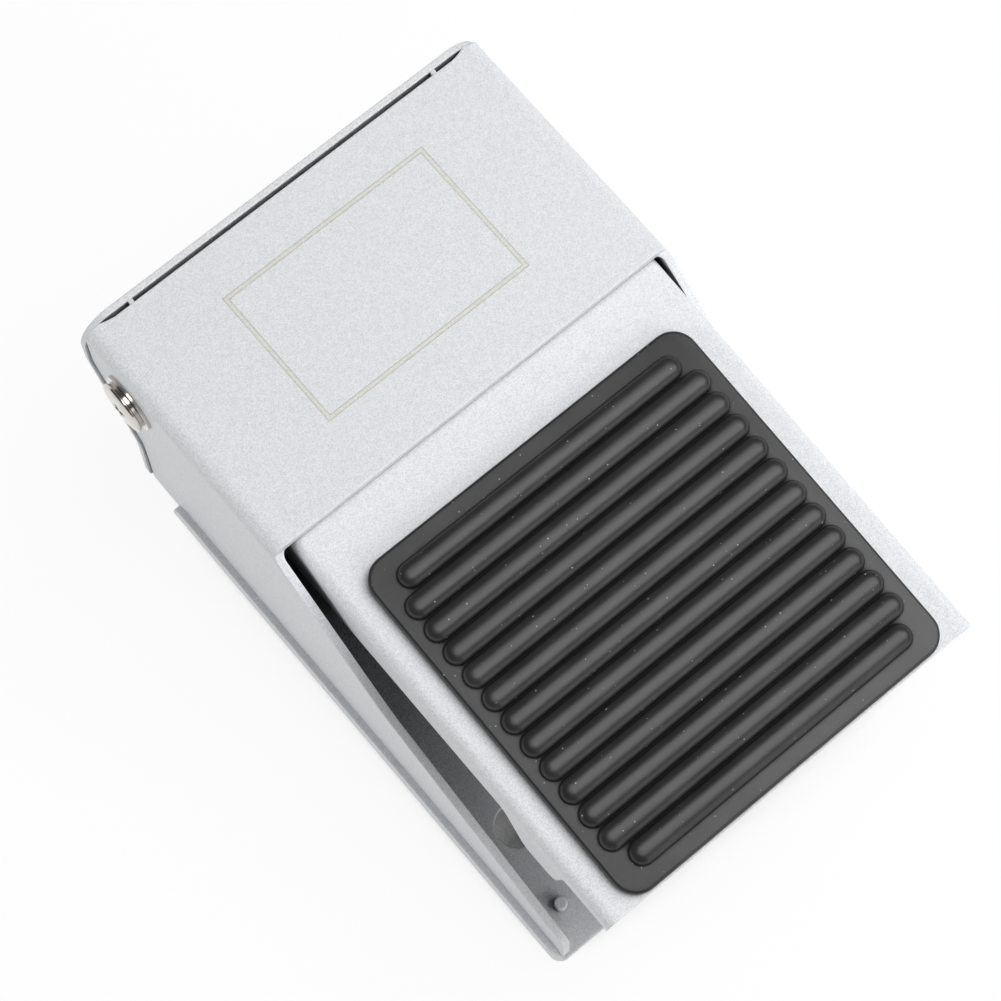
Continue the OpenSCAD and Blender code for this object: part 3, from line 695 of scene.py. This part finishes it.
def screwMesh(values, shank):
    radius, height, rim = values["headRadius"], values["headHeight"], values["rim"]
    hub, soft, shankRadius = values["hub"], values["rimRound"], values["shankRadius"]
    profile = [(hub, -shank), (shankRadius * values["tipShare"], -shank)]
    profile += [(shankRadius, -shank + values["tipLength"]), (shankRadius, 0)]
    profile += [(radius - soft, 0), (radius, soft), (radius, rim)]
    for k in range(1, values["domeSteps"] + 1):
        angle = k / values["domeSteps"] * pi / 2
        rise = (height - rim) * sin(angle) ** values["domePower"]
        profile.append((max(radius * cos(angle), hub), rim + rise))
    head = looseMesh("screwBlank", *bridgeRings(latheRings(profile)))
    for verts, faces in crossCutter(values):
        cutter = looseMesh("crossCutter", verts, faces)
        modifier = head.modifiers.new("recess", "BOOLEAN")
        modifier.object = cutter
        modifier.solver = "EXACT"
    shaped = bpy.data.meshes.new_from_object(head.evaluated_get(bpy.context.evaluated_depsgraph_get()))
    for modifier in head.modifiers:
        bpy.data.objects.remove(modifier.object)
    bpy.data.objects.remove(head)
    return [v.co.copy() for v in shaped.vertices], [tuple(p.vertices) for p in shaped.polygons]


def makePivotScrew(values):
    low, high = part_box("pivot_screw")
    centre = (low + high) / 2
    height = values["headHeight"]
    verts, faces = screwMesh(values, (high.x - low.x) / mm - height)
    place = Matrix.Translation((low.x + height * mm, centre.y, centre.z))
    place = place @ Matrix.Rotation(-pi / 2, 4, "Y") @ Matrix.Rotation(radians(values["turn"]), 4, "Z")
    screw = addPiece("pivotScrew", [place @ (v * mm) for v in verts], faces, "plated_steel", "frame")
    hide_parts("pivot_screw")


makePivotScrew(pivotScrewSet)
print("pivot screw made")

# plain frame printed on the hood's top, sizes in mm
printSet = {
    "xMiddle": 1.07,
    "halfWidth": 17.3,
    "yFront": 21.07,
    "yRear": 43.83,
    "band": 0.75,
    "line": 0.14,
    "lift": 0.012,
}


def makePrintedFrame(values):
    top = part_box("hood")[1].z
    middle = (values["yFront"] + values["yRear"]) / 2
    halfL = (values["yRear"] - values["yFront"]) / 2
    band, line, lift = values["band"], values["line"], values["lift"]
    # a closed film, half sunk in the hood's top
    film = [(0, -lift)]
    film += [(inset, lift) for inset in (0, line, band - line, band)]
    film += [(band, -lift), (0, -lift)]
    rings = []
    for inset, height in film:
        halfX, halfY = values["halfWidth"] - inset, halfL - inset
        corners = ((halfX, halfY), (-halfX, halfY), (-halfX, -halfY), (halfX, -halfY))
        z = top + height * mm
        rings.append([Vector(((values["xMiddle"] + x) * mm, (middle + y) * mm, z)) for x, y in corners])
    verts, faces = bridgeRings(rings, capped=False)
    piece = addPiece("hoodPrint", verts, faces, "silver_paint", "frame", smooth=False)
    piece.data.materials.clear()
    piece.data.materials.append(silverPaint("frameFill", frameFillSet))
    piece.data.materials.append(silverPaint("frameLine", frameLineSet))
    for face in piece.data.polygons:
        across = abs(face.center.x / mm - values["xMiddle"]) - values["halfWidth"]
        offset = max(across, abs(face.center.y / mm - middle) - halfL)
        face.material_index = 0 if line < -offset < band - line else 1


makePrintedFrame(printSet)
print("printed frame made")

# threads in the three ports, sizes in mm
threadSet = {
    "pitch": 1.34,
    "depth": 0.5,
    "turns": 7,
    "entry": 1.0,
    "fadePerTurn": 3,
    "footShare": 0.42,
    "halfCrest": 0.08,
    "bite": 0.03,
}


def makeThreads(values, stepsPerTurn=40):
    ports = [mount for mount in frame["record"]["mounts"] if mount["kind"] == "threaded_hole"]
    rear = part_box("valve_body")[1].y / mm
    half, crest, bite = values["pitch"] * values["footShare"], values["halfCrest"], values["bite"]
    for mount in ports:
        x, z = mount["pos_m"][0] / mm, mount["pos_m"][2] / mm
        radius = mount["dims"]["r_mm"]
        rings = []
        for i in range(values["turns"] * stepsPerTurn + 1):
            turns = i / stepsPerTurn
            fade = min(min(turns, values["turns"] - turns) * values["fadePerTurn"], 1)
            deep = -values["depth"] * fade
            y = rear - values["entry"] - turns * values["pitch"]
            ring = []
            for out, along in ((bite, -half), (deep, -crest), (deep, crest), (bite, half)):
                r, angle = radius + out, 2 * pi * turns
                ring.append(Vector((x + r * cos(angle), y + along, z + r * sin(angle))) * mm)
            rings.append(ring)
        name = "thread" + mount["name"].replace("_", " ").title().replace(" ", "")
        addPiece(name, *bridgeRings(rings), "cast_aluminium", "frame")


makeThreads(threadSet)
print("port threads made")
